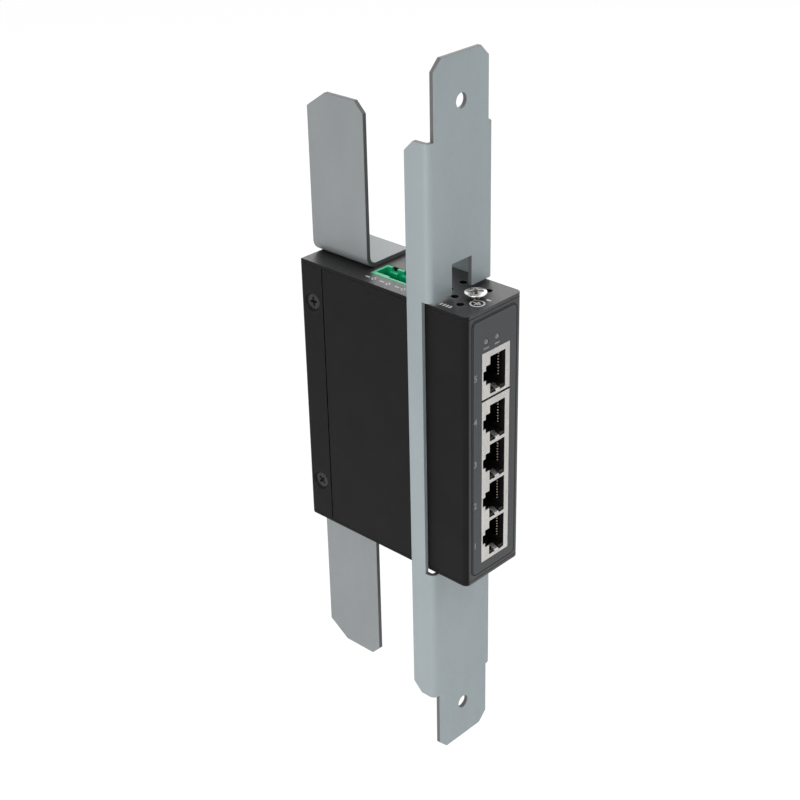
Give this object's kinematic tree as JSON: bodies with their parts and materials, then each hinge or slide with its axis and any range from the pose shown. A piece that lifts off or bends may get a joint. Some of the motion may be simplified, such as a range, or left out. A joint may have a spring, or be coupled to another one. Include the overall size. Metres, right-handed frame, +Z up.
{
  "type": "ethernet switch",
  "caption": "Slim sheet-metal network switch with stacked shielded sockets, a top power terminal strip, an earth screw, a front channel bracket and rear L brackets.",
  "frame": {"origin": "midway between the front channel's two mounting holes, on the rear face of its web", "axes": "+X to the right seen from the sockets, +Y from the sockets to the rear, +Z up along the channel"},
  "size_m": [0.0294, 0.0713, 0.2446],
  "materials": {
    "case_black": "fine textured black powder coat",
    "label_grey": "dark grey printed polyester overlay",
    "bracket_grey": "matte light grey conversion coat",
    "plated_steel": "bright zinc plate",
    "black_screw": "black oxide",
    "shield_nickel": "warm bright nickel",
    "socket_black": "black moulded polyester",
    "contact_gold": "gold flash",
    "terminal_green": "green moulded polyamide",
    "pin_tin": "tin plate",
    "lens_clear": "milky moulded lens",
    "board_green": "green solder resist",
    "part_black": "moulded epoxy",
    "can_bright": "bright can"
  },
  "bodies": {
    "root": {"wrap_shell": "case_black", "spine_shell": "case_black", "front_label": "label_grey", "shell_screws": "black_screw", "front_channel_bracket": "bracket_grey", "channel_studs": "plated_steel", "channel_nuts": "plated_steel", "rear_upper_bracket": "bracket_grey", "rear_lower_bracket": "bracket_grey", "rear_bracket_screws": "black_screw", "earth_screw": "plated_steel", "earth_nut": "plated_steel", "uplink_shield": "shield_nickel", "uplink_housing": "socket_black", "uplink_contacts": "contact_gold", "port_bank_shield": "shield_nickel", "port_bank_housing": "socket_black", "port_bank_contacts": "contact_gold", "status_lights": "lens_clear", "light_holder": "part_black", "terminal_header": "terminal_green", "terminal_pins": "pin_tin", "main_board": "board_green", "power_board": "board_green", "board_link_header": "part_black", "board_standoffs": "plated_steel", "board_screws": "plated_steel", "port_magnetics": "part_black", "switch_chip": "part_black", "clock_crystal": "can_bright", "filter_capacitors": "can_bright", "power_inductor": "part_black", "supply_fuse": "part_black", "regulator_chip": "part_black"}
  },
  "joints": []
}
